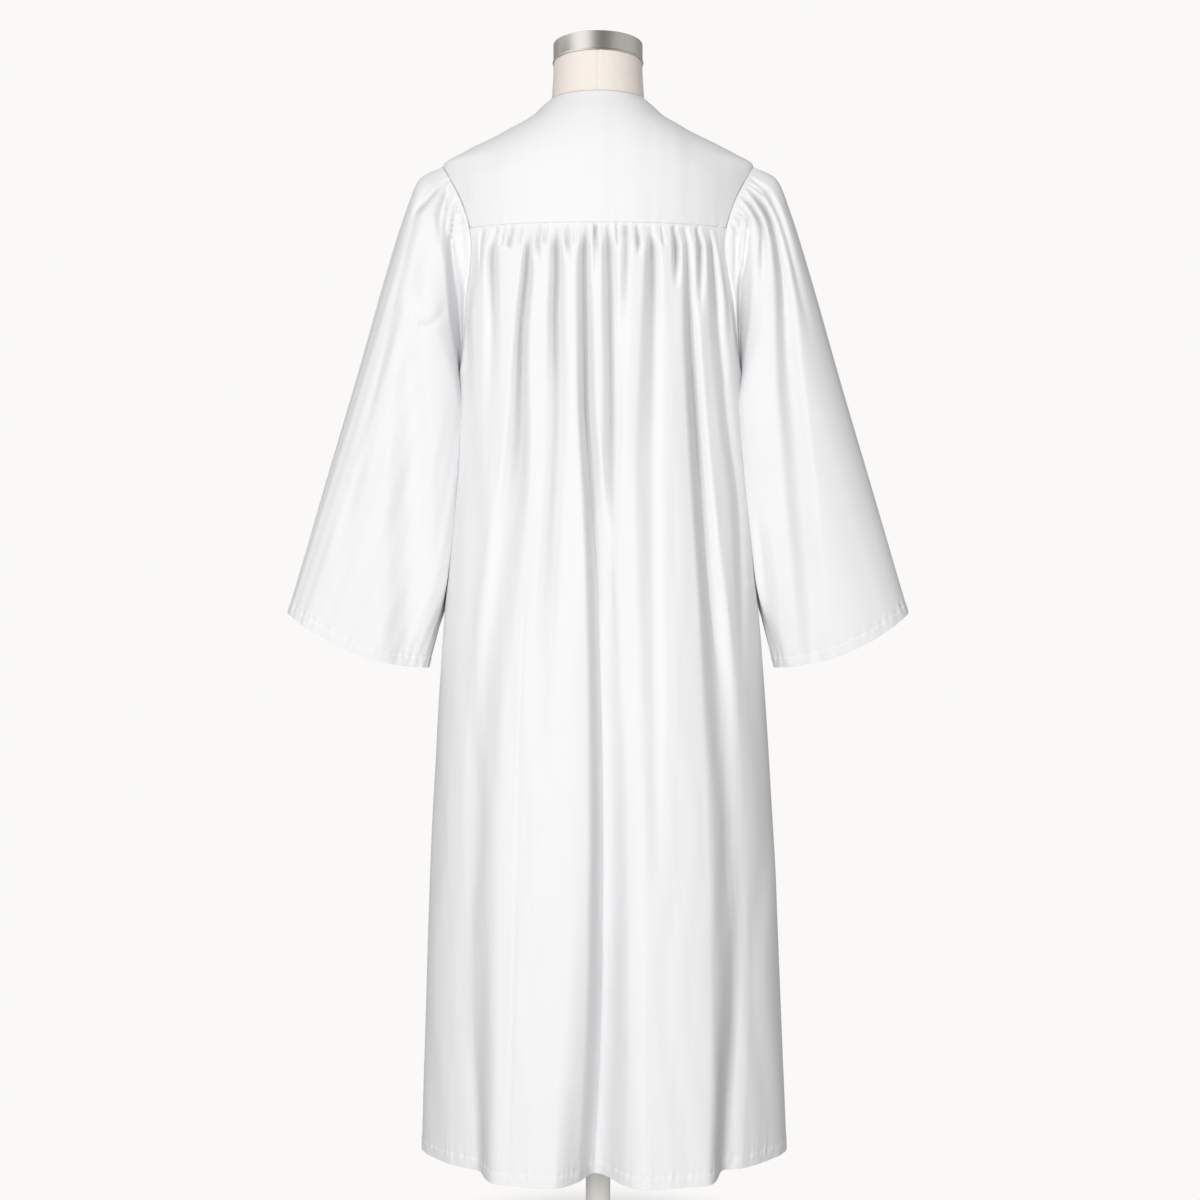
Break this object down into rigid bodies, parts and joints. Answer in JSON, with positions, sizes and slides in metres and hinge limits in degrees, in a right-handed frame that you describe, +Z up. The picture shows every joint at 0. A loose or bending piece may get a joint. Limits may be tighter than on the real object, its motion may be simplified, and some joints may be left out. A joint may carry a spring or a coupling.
{
  "type": "choir robe on a dress form",
  "caption": "Full-length gathered choir robe with a yoke, open bell sleeves and a front zip, worn by a limbless dress form on a round-based pole stand.",
  "frame": {"origin": "centre of the stand base's flat underside, on the floor", "axes": "+Z up, the wearer's front faces +Y and the back of the robe faces -Y, +X is the wearer's right"},
  "size_m": [0.812, 0.4053, 1.5904],
  "materials": {
    "white_cloth": "plain matte woven polyester",
    "zip_tape": "woven zip tape",
    "nickel": "plated, polished",
    "form_linen": "plain cream linen cover",
    "brushed_steel": "brushed",
    "stand_paint": "satin off-white powder coat"
  },
  "bodies": {
    "robe_on_form": {"stand_base": "stand_paint", "stand_pole": "stand_paint", "form_torso": "form_linen", "neck_cap": "brushed_steel", "back_yoke": "white_cloth", "front_yoke_left": "white_cloth", "front_yoke_right": "white_cloth", "back_panel": "white_cloth", "front_panel_left": "white_cloth", "front_panel_right": "white_cloth", "sleeve_left": "white_cloth", "sleeve_right": "white_cloth", "zip_tape_left": "zip_tape", "zip_tape_right": "zip_tape", "zip_slider": "nickel"},
    "pull_tab": {"zip_pull": "nickel"}
  },
  "joints": [
    {"name": "pull_tab_lift", "type": "hinge", "parent": "robe_on_form", "child": "pull_tab", "pos_m": [0, 0.10605, 1.388], "axis": [1, 0, 0], "range_deg": [0, 150]}
  ]
}
